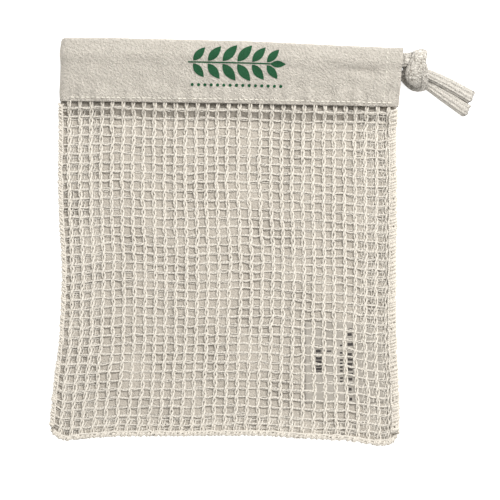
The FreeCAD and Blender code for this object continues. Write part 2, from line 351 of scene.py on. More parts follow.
# The cord is a little darker and more mottled between its loose tails, which end and start
# so far along it: the darkening is painted shade of the knot, the mottling its speckled knit.
FIRST_TAIL, SECOND_TAIL, TAIL_EASE = 0.03, 0.545, 120.0
knot_shade_and_mottle = ((along - FIRST_TAIL) * TAIL_EASE).least((SECOND_TAIL - along) * TAIL_EASE)
knot_shade_and_mottle = knot_shade_and_mottle.least(1.0).most(0.0)
# The stitch pattern also darkens the colour a little in its hollows: painted shade.
knit.colour(knit.blend(
    (fluff - 0.5) * (knot_shade_and_mottle * 1.6 + 0.9) + stitch * 0.05 - knot_shade_and_mottle * 0.18 + 0.66,
    (0.22, 0.196, 0.16, 1.0), (0.78, 0.735, 0.66, 1.0),
))
drawstring = piece_of("drawstring", cord_points, faces, lay, knit)
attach(drawstring, "drawstring")
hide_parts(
    "drawstring_front_run", "drawstring_back_run", "drawstring_bend",
    "drawstring_knot", "drawstring_tail_upper", "drawstring_tail_lower",
)


# ---- Band ----
# A strip of unbleached muslin folded along the mouth, and round the closed left end of the
# casing. Its right end is turned in and stitched, and its lower edge is turned under.
def ripples(x, y, length, seed, waves=8):
    """A soft uneven height from about -1 to 1, with waves of about that length."""
    chance = np.random.default_rng(seed)
    total = np.zeros(np.broadcast(x, y).shape)
    for _ in range(waves):
        way, phase = chance.uniform(0, 2 * math.pi, 2)
        pace = 2 * math.pi / (length * chance.uniform(0.7, 1.6))
        total = total + np.sin(pace * (x * math.cos(way) + y * math.sin(way)) + phase)
    return total / math.sqrt(waves)


def bulge(x, y, at, size):
    """A smooth rise of 1 at a place, so wide both ways."""
    return np.exp(-(((x - at[0]) / size[0]) ** 2) - ((y - at[1]) / size[1]) ** 2)


def cloth_of(name, points, lay, thickness, finish):
    """A cloth piece from rows of points, given its thickness on both sides of them."""
    rows, columns = points.shape[:2]
    index = np.arange(rows * columns).reshape(rows, columns)
    corners = np.stack([index[:-1, :-1], index[:-1, 1:], index[1:, 1:], index[1:, :-1]], 2)
    corners = corners.reshape(-1, 4)
    piece = piece_of(name, points.reshape(-1, 3) * MM, corners.tolist(), lay.reshape(-1, 2)[corners], finish)
    solid = piece.modifiers.new("thickness", "SOLIDIFY")
    solid.thickness = thickness * MM
    solid.offset = 0.0
    bpy.context.view_layer.objects.active = piece
    bpy.ops.object.modifier_apply(modifier="thickness")
    return piece


def gathers(piece):
    """Bakes the piece's placement into its mesh points."""
    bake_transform(piece)


# Half the height of the flat casing, the cloth's thickness and the turned-in right end, then
# where the fold along the mouth begins, and how far the plies are from the middle.
MIDDLE, CLOTH, HEM = 6.6, 0.4, 10.0
FOLD_DOWN, PLY_IN, PLY_OUT = 2.15, 2.5, 6.4


def spaced(corners, counts):
    """Points between corners, so many on each run."""
    found = []
    for (a, b), n in zip(zip(corners, corners[1:]), counts):
        found += [np.array(a) + (np.array(b) - np.array(a)) * k / n for k in range(n)]
    return np.array(found + [np.array(corners[-1])])


def eased(line, times):
    """A line of points with its corners softened."""
    for _ in range(times):
        line[1:-1] = (line[:-2] + 2 * line[1:-1] + line[2:]) / 4
    return line


# The strip's section on the front and on the back of the bag, as points (down the band, out
# from the middle): up the inner ply, over the fold, down the outer ply and its turned edge.
FOLD_RADIUS = 1.95
INNER_END = BAND_DEPTH - 0.5
half_turn = np.linspace(0.0, math.pi, 9)
fold_down = FOLD_DOWN - FOLD_RADIUS * np.sin(half_turn)
back_fold = np.stack([fold_down, 4.45 - FOLD_RADIUS * np.cos(half_turn)], 1)
front_fold = np.stack([fold_down, 3.95 - 1.45 * np.cos(half_turn)], 1)
front_inner = spaced(
    [(INNER_END, -0.9), (24.0, 1.6), (17.0, PLY_IN), (FOLD_DOWN, PLY_IN)], [8, 4, 10],
)[:-1]
front_outer = spaced(
    [(FOLD_DOWN, 5.4), (9.2, 6.85), (15.6, 4.4), (24.0, 3.0), (BAND_DEPTH, 0.75)], [7, 6, 5, 11],
)[1:]
back_inner = spaced(
    [(INNER_END, 5.4), (33.0, 5.4), (25.0, PLY_IN), (FOLD_DOWN, PLY_IN)], [2, 5, 15],
)[:-1]
back_outer = spaced(
    [(down, PLY_OUT) for down in (FOLD_DOWN, 11.0, 16.5, 31.0, BAND_DEPTH)], [7, 6, 11, 5],
)[1:]
turned_front = np.array([(36.35, 0.5), (36.2, 0.27), (35.6, 0.3), (33.0, 0.78), (30.0, 1.3)])
turned_back = np.array([(36.3, 6.3), (36.35, 6.15), (36.0, 6.0), (33.0, 5.98), (30.0, 5.98)])
front_profile = np.concatenate([front_inner, front_fold, eased(front_outer, 2), turned_front])
back_profile = np.concatenate([back_inner, back_fold, back_outer, turned_back])
outer_from, outer_to = len(front_inner) + 5, len(front_profile) - len(turned_front)


# Soft dents and one rise of the band: how high, where along and down, and how wide both ways.
DENTS = (
    (-1.5, (177.0, 14.5), (10.0, 3.2)),
    (-0.8, (4.0, 14.0), (5.0, 6.0)),
    (-0.5, (36.0, 14.5), (16.0, 3.0)),
    (0.5, (186.5, 20.0), (3.0, 9.0)),
)


def puckers(along, down):
    """How far the outside of the front of the band stands out, along it and down it."""
    near_seam = np.exp(-(((down - 31.5) / 6.0) ** 2))
    rise = 0.6 * ripples(along * 0.8 + down * 0.6, down * 1.3 - along * 0.3, 32.0, 3)
    rise = rise + 1.1 * near_seam * np.maximum(ripples(along, down * 0.22, 8.0, 4), -0.3)
    rise = rise + 0.4 * ripples(along, down, 10.0, 6)
    rise = rise + 0.16 * ripples(along * 0.8 + down, down - along * 0.8, 5.0, 7)
    for high, at, size in DENTS:
        rise = rise + high * bulge(along, down, at, size)
    # The cord holds the cloth up over the casing.
    floor = -0.3 - 3.0 * np.clip((down - 12.0) / 5.0, 0.0, 1.0)
    return np.maximum(rise, floor) * np.clip(down / 8.0, 0.15, 1.0)


# The strip runs from its right end along the front, round the left end and along the back.
# Its places are closest where it is turned in at both ends.
front_reach = BAND_LENGTH - MIDDLE
whole_run = 2 * front_reach + MIDDLE * math.pi
run = np.concatenate([
    np.linspace(-HEM, -0.9, 8), [-0.35, 0.0, 0.35], np.linspace(0.9, front_reach, 150),
    front_reach + MIDDLE * math.pi * (np.arange(1, 13) / 13),
    whole_run - np.linspace(0.9, front_reach, 100)[::-1],
    whole_run + np.array([-0.35, 0.0, 0.35, 0.9, 4.0, HEM]),
])
rows = []
step_in = CLOTH + 0.12
profile_run = np.concatenate([[0.0], np.cumsum(np.linalg.norm(np.diff(front_profile, axis=0), axis=1))])
band_lay = np.stack(np.broadcast_arrays(run[:, None], profile_run[None, :]), 2) * MM


def inward(profile):
    """The way to the inside of the casing from each point of a profile."""
    ahead = np.gradient(profile, axis=0)
    return unit(np.stack([-ahead[:, 1], ahead[:, 0]], 1))


for s in run:
    turned = max(-s, s - whole_run, 0.0)
    angle = np.clip((s - front_reach) / MIDDLE, 0.0, math.pi)
    share = angle / math.pi
    profile = front_profile * (1 - share) + back_profile * share
    down, out = profile[:, 0].copy(), profile[:, 1].copy()
    if s < front_reach:
        along = np.full(len(profile), BAND_LENGTH - abs(s))
    else:
        along = np.full(len(profile), MIDDLE + max(0.0, s - front_reach - MIDDLE * math.pi))
        along = np.minimum(along, 2 * BAND_LENGTH - along)
    ease = np.clip(1 - angle / 1.2, 0.0, 1.0)
    outside = np.zeros(len(profile))
    outside[outer_from:] = 1.0
    flat_along = along - out * math.sin(angle)
    out = out + puckers(flat_along, down) * outside * ease
    if turned > 0 or s in (0.0, whole_run):
        sink = 1.0 if turned > 0.5 else 0.85 if turned > 0 else 0.5
        push = -inward(np.stack([down, out], 1)) * step_in * sink
        push[outer_to:] = 0.0
        down, out = down + push[:, 0], out + push[:, 1]
    height = MIDDLE + out * math.cos(angle)
    along = along - 2.0 * np.clip((down - 12.0) / 20.0, 0.0, 1.0) * outside * math.sin(angle)
    x, y, z = on_band(along - out * math.sin(angle), down, height)
    rows.append(np.stack([x, y, z], 1))

# The angle that the weave's threads go through in a metre, both ways. The ink follows them.
WARP, WEFT = 14500.0, 16000.0


def muslin_of(name, dark, light, grain):
    """Plain woven cotton with thick threads both ways, soft mottling and a few seed husks."""
    muslin = Finish(name, 0.95, 0.2)
    place, along, around = muslin.along_and_round()
    sway = muslin.cloudy(place, (700.0, 700.0), 1.0)
    warp = (along * WARP + sway * 2.2).sine()
    weft = (around * WEFT + sway * 2.2).sine()
    thick_ends = muslin.cloudy(place, (140.0, 1900.0), 2.0, 0.6)
    thick_picks = muslin.cloudy(place, (1900.0, 140.0), 2.0, 0.6)
    slant = muslin.node(
        "ShaderNodeVectorRotate", {"rotation_type": "Z_AXIS"}, {"Vector": place, "Angle": 0.7},
    )
    mottle = muslin.cloudy(slant, (560.0, 760.0), 3.0, 0.75)
    from_husk = muslin.node("ShaderNodeTexVoronoi", {"feature": "F1"}, {"Vector": place, "Scale": 45.0})
    husk = (1.0 - from_husk * 34.0).most(0.0)
    muslin.relief(warp * weft * 0.05 + thick_ends * 0.15 + thick_picks * 0.2 + mottle * 2.4, 0.0012 * grain)
    shade = (thick_ends * 0.1 + thick_picks * 0.15 + mottle * 1.2 - 0.725) * grain + 0.5
    cream = muslin.blend(shade, dark, light)
    muslin.colour(muslin.blend(husk * 0.6, cream, (0.22, 0.15, 0.09, 1.0)))
    return muslin


muslin = muslin_of("unbleached muslin", (0.47, 0.427, 0.358, 1.0), (0.84, 0.781, 0.69, 1.0), 1.0)
band = cloth_of("band", np.array(rows), band_lay, CLOTH, muslin)
gathers(band)
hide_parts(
    "front_band_outer", "front_band_inner", "back_band_outer", "back_band_inner",
    "band_outer_left_fold", "band_inner_left_fold", "front_band_end_hem", "back_band_end_hem",
)


# ---- Stitching of the band ----
# Rows of lockstitch in cream thread: along the lower edge on both sides, and down the front
# through the turned-in end. Each stitch is a short rounded bar pressed into the cloth.
front_down = front_profile[outer_from:outer_to, 0]
front_out = front_profile[outer_from:outer_to, 1]


def front_of_band(along, down):
    """The height of the cloth's upper face on the front of the band."""
    return MIDDLE + np.interp(down, front_down, front_out) + puckers(along, down) + CLOTH / 2


# A stitch's thickness along it: shares of its length and of its full thickness.
STITCH_SHAPE = ((0.0, 0.25), (0.07, 0.75), (0.3, 1.0), (0.7, 1.0), (0.93, 0.75), (1.0, 0.25))


def bars(name, places):
    """Rounded stitches from their two ends and thickness, joined in one piece of thread."""
    sides = 8
    points, faces, lay = [], [], []
    for first, second, thick in places:
        first, second = np.array(first), np.array(second)
        ahead = unit(second - first)
        across = unit(np.cross((0.0, 0.0, 1.0), ahead))
        up = np.cross(ahead, across)
        base = len(points)
        length = np.linalg.norm(second - first)
        for share, size in STITCH_SHAPE:
            for k in range(sides):
                spin = 2 * math.pi * k / sides
                points.append(
                    first + (second - first) * share
                    + (across * math.cos(spin) + up * math.sin(spin) * 0.75) * size * thick / 2
                )
        for n in range(5):
            for k in range(sides):
                after = (k + 1) % sides
                faces.append((
                    base + n * sides + k, base + n * sides + after,
                    base + (n + 1) * sides + after, base + (n + 1) * sides + k,
                ))
                low, high = length * n / 5 * MM, length * (n + 1) / 5 * MM
                here, there = k / sides, (k + 1) / sides
                lay += [(low, here), (low, there), (high, there), (high, here)]
        faces.append(tuple(base + k for k in reversed(range(sides))))
        faces.append(tuple(base + 5 * sides + k for k in range(sides)))
        lay += [(0.0, 0.0)] * (2 * sides)
    return piece_of(name, np.array(points) * MM, faces, lay, thread)


TWO_TURNS = 12.566
thread = Finish("cream thread", 0.8, 0.15)
place, along, around = thread.along_and_round()
thread.relief((along * 9000.0 + around * TWO_TURNS).sine(), 0.00008)
thread.colour(thread.blend(
    thread.cloudy(place, (900.0, 3.0)), (0.64, 0.60, 0.51, 1.0), (0.80, 0.76, 0.67, 1.0),
))
# Where the seam lies, how far apart its stitches start and how many there are, how far a
# stitch strays on the front, and how long each is on the front, at the end and elsewhere.
SEAM_DOWN, PITCH, STITCHES, STRAY = 34.2, 3.0, 63, 0.12
FRONT_STITCH, END_STITCH, STITCH = 2.25, 2.3, 2.2
chance = np.random.default_rng(11)
places = []
for n in range(STITCHES):
    start = 6.8 + n * PITCH + chance.uniform(-STRAY, STRAY)
    ends = []
    for along in (start, start + FRONT_STITCH):
        down = SEAM_DOWN + chance.uniform(-STRAY, STRAY)
        ends.append(on_band(along, down, float(front_of_band(along, down)) + 0.12))
    places.append((ends[0], ends[1], 0.72))
front_seam = bars("front_band_stitching", places)
places = []
for n in range(STITCHES):
    start = 7.2 + n * PITCH
    places.append((on_band(start, SEAM_DOWN, 1.45), on_band(start + STITCH, SEAM_DOWN, 1.45), 0.5))
back_seam = bars("back_band_stitching", places)
places = []
for n in range(11):
    start = 2.4 + n * PITCH
    ends = []
    for down in (start, start + END_STITCH):
        along = BAND_LENGTH - HEM + 1.1 + chance.uniform(-0.1, 0.1)
        ends.append(on_band(along, down, float(front_of_band(along, down)) + 0.02))
    places.append((ends[0], ends[1], 0.55))
end_seam = bars("band_end_stitching", places)
for seam, node in (
    (front_seam, "front_band_topstitch"),
    (back_seam, "back_band_topstitch"),
    (end_seam, "front_band_end_stitch"),
):
    gathers(seam)
    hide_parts(node)


# ---- Printed motif ----
# A green leaf sprig over a row of dots, screen printed on the front of the band: a thin film
# of ink that sinks into the weave.
FILM_LIFT = 0.21


def film_of(name, shapes, finish):
    """Thin ink on the front of the band, from shapes given as rows of (along, down)."""
    points, faces, lay = [], [], []
    for shape in shapes:
        base = len(points)
        rows, columns = shape.shape[:2]
        for along, down in shape.reshape(-1, 2):
            points.append(on_band(along, down, float(front_of_band(along, down)) + FILM_LIFT))
        for r in range(rows - 1):
            for c in range(columns - 1):
                ring = [(r, c), (r + 1, c), (r + 1, c + 1), (r, c + 1)]
                faces.append(tuple(base + a * columns + b for a, b in ring))
                lay += [tuple(shape[a, b] * MM) for a, b in ring]
    return piece_of(name, np.array(points) * MM, faces, lay, finish)


def leaf(along, down, length, angle):
    """A pointed leaf from its foot, with rows across it from foot to tip."""
    shares = np.linspace(0.0, 1.0, 13)
    half = length * 0.22 * np.sin(math.pi * shares ** 0.9) ** 0.9
    rows = []
    for share, w in zip(shares, half):
        row = []
        for side in np.linspace(-1.0, 1.0, 7):
            a, b = share * length, side * w
            row.append((
                along + a * math.cos(angle) - b * math.sin(angle),
                down - a * math.sin(angle) - b * math.cos(angle),
            ))
        rows.append(row)
    return np.array(rows)


def dot(along, down, radius):
    """A round spot, with rows across it."""
    rows = []
    for angle in np.linspace(0.001, math.pi - 0.001, 7):
        at, half = along - radius * math.cos(angle), radius * math.sin(angle)
        rows.append([(at, down - side * half) for side in np.linspace(-1.0, 1.0, 5)])
    return np.array(rows)


SPRIG, SPRIG_LENGTH, SPRIG_DOWN = 77.0, 55.0, 13.0
DOTS, DOT_PITCH, DOTS_DOWN, DOT_RADIUS = 15, 3.7, 26.0, 0.95
shapes = [leaf(SPRIG + SPRIG_LENGTH - 9.0, SPRIG_DOWN, 9.0, 0.0)]
for n in range(6):
    foot, length = SPRIG + 1.0 + n * (SPRIG_LENGTH - 12.0) / 5, 13.0 - 1.1 * abs(n - 2.5)
    shapes.append(leaf(foot, SPRIG_DOWN - 0.8, length, math.radians(50.0)))
    shapes.append(leaf(foot, SPRIG_DOWN + 0.8, length, math.radians(-50.0)))
stem = np.linspace(SPRIG - 2.0, SPRIG + SPRIG_LENGTH - 8.0, 50)
shapes.append(np.array([[(a, SPRIG_DOWN - 0.4), (a, SPRIG_DOWN + 0.4)] for a in stem]))
shapes += [dot(SPRIG + 1.0 + n * DOT_PITCH, DOTS_DOWN, DOT_RADIUS) for n in range(DOTS)]
ink = Finish("green ink", 0.75)
place, along, around = ink.along_and_round()
worn = ink.cloudy(place, (900.0, 900.0), 3.0, 0.7)
ink.relief((along * WARP).sine() * (around * WEFT).sine() * 0.3 + worn, 0.0003)
ink.colour(ink.blend(worn, (0.006, 0.05, 0.019, 1.0), (0.019, 0.115, 0.046, 1.0)))
motif = film_of("printed_sprig", shapes, ink)
gathers(motif)
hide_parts("printed_motif")


# ---- Back ----
# A single muslin panel that lies on the table, sewn to the net round its sides and its closed
# end and caught between the plies of the band at the mouth.
# The bag's outline below the band: x of its two sides for some y, and y of its end for some x.
LEFT = (
    (-118.0, -104.0), (-108.0, -102.7), (-91.0, -101.4), (-75.0, -99.7), (-60.0, -97.6), (-34.0, -96.3),
    (-18.0, -95.7), (-2.0, -96.4), (8.0, -97.2), (35.0, -98.2), (60.0, -97.7), (90.0, -97.6),
)
RIGHT = (
    (-118.0, 99.6), (-113.0, 100.2), (-92.0, 100.2), (-60.0, 98.6), (-35.0, 98.2), (10.0, 98.8), (45.0, 98.8),
    (60.0, 98.2), (72.0, 98.7), (84.0, 99.6), (90.0, 99.9),
)
END = (
    (-103.5, -108.0), (-101.5, -113.6), (-98.0, -116.4), (-86.0, -115.0), (-66.0, -113.4), (20.0, -113.0),
    (50.0, -115.0), (70.0, -115.8), (84.0, -118.4), (94.0, -119.2), (99.0, -117.0), (102.0, -111.0),
)
# How far below the folded edge the net and the back begin, between the plies of the band.
SEWN_IN = 31.0


def curve_at(table, value):
    """A value from a table of pairs, with its corners softened."""
    keys, values = np.array(table).T
    offsets = (-5.0, -2.5, 0.0, 2.5, 5.0)
    return sum(np.interp(value + shift, keys, values) for shift in offsets) / len(offsets)


def bag_place(across, down_share):
    """A place on the bag below the band, from its left edge to its right and down to its end."""
    rough_y = 88.0 - 203.0 * down_share
    left, right = curve_at(LEFT, rough_y), curve_at(RIGHT, rough_y)
    x = left + (right - left) * across
    high = on_band(x - BAND_CORNER[0], SEWN_IN, 0.0)[1]
    y = high + (curve_at(END, x) - high) * down_share
    return x, y


across, share = np.meshgrid(np.linspace(0.004, 0.996, 111), np.linspace(0.0, 0.998, 115))
x, y = bag_place(across, share)
free = np.clip(share * 6.0, 0.0, 1.0)
z = 0.72 + 0.2 * ripples(x, y, 34.0, 21) * free + 0.1 * ripples(x, y * 2.0, 14.0, 22) * free
# It stands off the table just below the mouth, where the thicker band holds it up. The mouth
# slopes, by so much to each mm across.
HUMP, HUMP_DOWN, HUMP_WIDE, MOUTH_SLOPE = 3.3, 38.6, 3.1, 0.0227
below_mouth = BAND_CORNER[1] - y - MOUTH_SLOPE * (x - BAND_CORNER[0])
z = z + HUMP * np.exp(-(((below_mouth - HUMP_DOWN) / HUMP_WIDE) ** 2))
back_points = np.stack([x, y, np.maximum(z, 0.35)], 2)[::-1]
# The back's muslin is a darker copy of the band's, with calmer mottling: the darkness is painted shade of the
# net lying over it.
back_muslin_painted_shade = muslin_of("back muslin in painted shade", (0.34, 0.306, 0.256, 1.0), (0.57, 0.52, 0.448, 1.0), 0.35)
back = cloth_of("back", back_points, back_points[:, :, :2] * MM, CLOTH, back_muslin_painted_shade)
gathers(back)
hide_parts("back_panel")


# ---- Net front ----
# An open leno net of soft cotton: each upright is a pair of yarns twisted round each other,
# and loose bundles of finer yarn lie across, held in the twists.
COLUMNS, ROWS = 31, 37
# Its height under the band's edge and on the back, and how long it takes to come down.
HIGH_NET, LOW_NET, NET_SLOPE = 6.2, 1.5, 11.0
WARP_APART, WARP_FAT, WEFT_FAT, WEFT_SPREAD = 0.66, 0.66, 0.42, 0.42


def eased_down(slope):
    """From 1 to 0 as the slope goes from 0 to 1, level at both."""
    return 1.0 - slope * slope * (3.0 - 2.0 * slope)


def depth_below(x, y):
    """How far below the folded edge of the band a place is."""
    return (x - BAND_CORNER[0]) * DOWN_BAND[0] + (y - BAND_CORNER[1]) * DOWN_BAND[1]


def net_place(column, row):
    """Where the middle of the net lies at a column and a row, which may be between two."""
    across = (column + 0.93) / (COLUMNS + 0.8)
    share = np.clip((row + 0.75) / (ROWS + 0.95), 0.0, 1.0)
    x, y = bag_place(across, share)
    inside = np.clip(np.minimum(across, 1 - across) * 12.0, 0.0, 1.0)
    x = x + (0.5 * ripples(x, y, 80.0, 31) + 0.13 * ripples(x, y, 20.0, 32)) * inside
    y = y + (0.5 * ripples(x, y, 80.0, 33) + 0.12 * ripples(x, y, 20.0, 34)) * np.clip(row / 2.0, 0.0, 1.0)
    depth = depth_below(x, y)
    slope = np.clip((depth - BAND_DEPTH) / NET_SLOPE, 0.0, 1.0)
    z = LOW_NET + (HIGH_NET - LOW_NET) * eased_down(slope) + 0.194 * np.maximum(0.0, BAND_DEPTH - depth)
    border = np.clip(1.0 - np.minimum(across, 1 - across) * 9.0, 0.0, 1.0)
    z = z + (0.5 * border + 0.2 * ripples(x, y, 25.0, 35)) * slope
    return x, y, z


def tubes_of(name, bundles, finish):
    """Yarns as closed tubes in one mesh. Each bundle has the yarns' lines and radii, how many
    sides they have, which way is up, how flat they are pressed and how far they are turned."""
    points, faces, lay, base = [], [], [], 0
    for lines, radius, sides, up, pressed, turned in bundles:
        number, steps = lines.shape[:2]
        ahead = unit(np.gradient(lines, axis=1))
        across = unit(np.cross(np.broadcast_to(up, ahead.shape), ahead))
        rise = np.cross(ahead, across)
        spin = np.linspace(0.0, 2 * math.pi, sides, endpoint=False)
        spin = spin + np.broadcast_to(turned, (number, steps))[..., None]
        radius = np.broadcast_to(radius, (number, steps))[..., None, None]
        ring = (
            lines[:, :, None, :]
            + across[:, :, None, :] * radius * np.cos(spin)[..., None]
            + rise[:, :, None, :] * radius * pressed * np.sin(spin)[..., None]
        )
        points.append(ring.reshape(-1, 3))
        index = np.arange(number * steps * sides).reshape(number, steps, sides) + base
        after = np.roll(index, -1, axis=2)
        quads = np.stack([index[:, :-1], after[:, :-1], after[:, 1:], index[:, 1:]], 3).reshape(-1, 4)
        faces += quads.tolist()
        run = np.cumsum(np.linalg.norm(np.diff(lines, axis=1, prepend=lines[:, :1]), axis=2), axis=1) * MM
        run = run + np.arange(number)[:, None] * 0.37
        low = np.broadcast_to(run[:, :-1, None], quads.reshape(number, steps - 1, sides, 4).shape[:3])
        high = np.broadcast_to(run[:, 1:, None], low.shape)
        here = np.broadcast_to(np.arange(sides) / sides, low.shape)
        there = here + 1 / sides
        lay.append(np.stack([low, here, low, there, high, there, high, here], 3).reshape(-1, 2))
        for ends, order in ((index[:, 0], slice(None, None, -1)), (index[:, -1], slice(None))):
            faces += ends[:, order].tolist()
            lay.append(np.zeros((number * sides, 2)))
        base += number * steps * sides
    return piece_of(name, np.concatenate(points) * MM, faces, np.concatenate(lay), finish)


def between(values, at):
    """Values given for whole steps, eased between them."""
    low = np.clip(np.floor(at).astype(int), 0, values.shape[-1] - 2)
    t = np.clip(at - low, 0.0, 1.0)
    t = t * t * (3 - 2 * t)
    return values[..., low] * (1 - t) + values[..., low + 1] * t


def uprights(first, last, top, end, seed, drop=0.0, shift=0.0, stout=1.0):
    """Twisted pairs of warp yarn for some columns, from one row to another."""
    chance = np.random.default_rng(seed)
    steps = int((end - top) * 12) + 1
    row = np.linspace(top, end, steps)
    lines, turned = [], []
    for column in range(first, last):
        stray = between(chance.normal(0.0, 0.035, ROWS + 3), row + 1)
        x, y, z = net_place(column + shift + stray, row)
        pressed = np.clip((depth_below(x, y) - BAND_DEPTH) / 4.0, 0.3, 1.0)
        twist = math.pi * (row + 0.5) + between(chance.normal(0.0, 0.25, ROWS + 3), row + 1)
        wide = WARP_APART + between(chance.uniform(-0.1, 0.18, ROWS + 3), row + 1)
        for side in (0.0, math.pi):
            # Each yarn's map starts on the side facing its partner, where the net's colour paints shade in
            # the groove.
            turned.append(twist + side + math.pi)
            lines.append(np.stack([
                x + wide * np.cos(twist + side), y, z - drop + 0.36 * pressed * np.sin(twist + side),
            ], 1))
    lines = np.array(lines)
    fat = WARP_FAT + 0.07 * np.cos(2 * math.pi * row)[None, :] + np.zeros((len(lines), 1))
    fat = fat + between(chance.normal(0.0, 0.045, (len(lines), 2 * ROWS + 6)), 2 * row + 3)
    fat = fat * np.clip((depth_below(lines[..., 0], lines[..., 1]) - 34.0) / 3.0, 0.5, 1.0)
    return lines, (fat + 0.03) * stout, 6, (0.0, 0.0, 1.0), 0.78, np.array(turned)


def crossings(first, last, top, end, seed, drop=0.0, shift=0.0, stout=1.0):
    """Loose bundles of weft yarn for some rows, from one column to another."""
    chance = np.random.default_rng(seed)
    steps = int((last - first) * 5) + 1
    column = np.linspace(first, last, steps)
    lines, fat = [], []
    for row in range(top, end):
        bow = between(chance.normal(0.0, 0.035, COLUMNS + 3), column + 1)
        spread = between(chance.uniform(0.5, 1.9, COLUMNS + 3), column + 1)
        open_share = np.abs(np.sin(math.pi * (column - np.floor(column))))
        slack = chance.uniform(-0.25, 0.7, COLUMNS + 4)[np.floor(column).astype(int) + 1] * open_share
        for side in (-1.0, 0.0, 1.0):
            drift = between(chance.normal(0.0, 0.16, 2 * COLUMNS + 6), 2 * column + 2)
            x, y, z = net_place(column, row + shift + bow)
            pressed = np.clip((depth_below(x, y) - BAND_DEPTH) / 4.0, 0.2, 1.0)
            lines.append(np.stack([
                x, y + side * WEFT_SPREAD * spread * (0.6 + 0.6 * open_share) + drift - slack,
                z - drop - 0.1 + (0.22 * (1 - abs(side)) + drift * 0.6) * pressed,
            ], 1))
            uneven = between(chance.uniform(-0.07, 0.1, COLUMNS + 3), column + 1)
            fat.append(WEFT_FAT - 0.12 * abs(side) + uneven)
    # The wefts' maps start on their undersides, so the net's colour paints shade under them and a highlight
    # on top.
    return np.array(lines), np.array(fat) * stout, 4, (0.0, 0.0, 1.0), 0.7, -math.pi / 2


net_yarn = Finish("soft net cotton", 0.95, 0.3)
place, along, around = net_yarn.along_and_round()
fibres = (along * 3700.0 + around * TWO_TURNS).sine()
fuzz = net_yarn.cloudy(place, (1000.0, 4.0), 3.0, 0.8)
uneven = net_yarn.cloudy(place, (160.0, 0.6), 2.0)
net_yarn.relief(fibres * 0.5 + fuzz, 0.0002)
# Each yarn is painted darker on the side where its map starts and lighter on the opposite side: painted shade
# in the groove between twisted yarns and under the wefts, and a painted highlight on their tops. The fibre
# twist is also a little darker in its hollows, painted shade.
painted_groove_shade = (around * TURN + 1.571).sine()
net_yarn.colour(net_yarn.blend(
    fuzz * 0.9 + uneven * 0.4 + fibres * 0.1 - painted_groove_shade * 0.2 - 0.06,
    (0.46, 0.417, 0.348, 1.0), (0.67, 0.625, 0.55, 1.0),
))
# The one panel is drawn as three strips, from left to right, which share its rows.
net_parts = []
for name, first, last in (("net_left", 0, 10), ("net_middle", 10, 21), ("net_right", 21, COLUMNS)):
    from_column = first - (0.83 if first == 0 else 0.5)
    to_column = last - (0.23 if last == COLUMNS else 0.5)
    bundle = [
        uprights(first, last, -0.5, ROWS + 0.15, seed=41 + first),
        crossings(from_column, to_column, 0, ROWS + 1, seed=51),
    ]
    net_parts.append(tubes_of(name, bundle, net_yarn))
for part in net_parts:
    gathers(part)
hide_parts("front_net_panel")


# ---- Turned-in net ----
# The net's own edge, folded in under its sides and its closed end before they are sewn, so
# that a second layer shows through the holes there.
left_turn = tubes_of("net_left_turn_in", [
    uprights(0, 3, 1.0, ROWS - 0.1, seed=61, drop=0.55, shift=0.3, stout=0.55),
    crossings(-0.6, 3.0, 1, ROWS, seed=62, drop=0.5, shift=0.25, stout=0.6),
], net_yarn)
right_turn = tubes_of("net_right_turn_in", [
    uprights(28, 31, 1.0, ROWS - 0.1, seed=63, drop=0.55, shift=-0.35, stout=0.6),
    crossings(27.5, 30.7, 1, ROWS, seed=64, drop=0.5, shift=0.3, stout=0.7),
], net_yarn)
end_turn = tubes_of("net_end_turn_in", [
    uprights(3, 27, ROWS - 1.6, ROWS - 0.1, seed=65, drop=0.5, shift=0.3, stout=0.7),
    crossings(3.0, 27.0, ROWS - 2, ROWS, seed=66, drop=0.5, shift=0.4, stout=0.8),
], net_yarn)
for part, turn_in, node in zip(
    net_parts, (left_turn, end_turn, right_turn),
    ("left_net_turn_in", "end_net_turn_in", "right_net_turn_in"),
):
    gathers(turn_in)
    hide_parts(node)


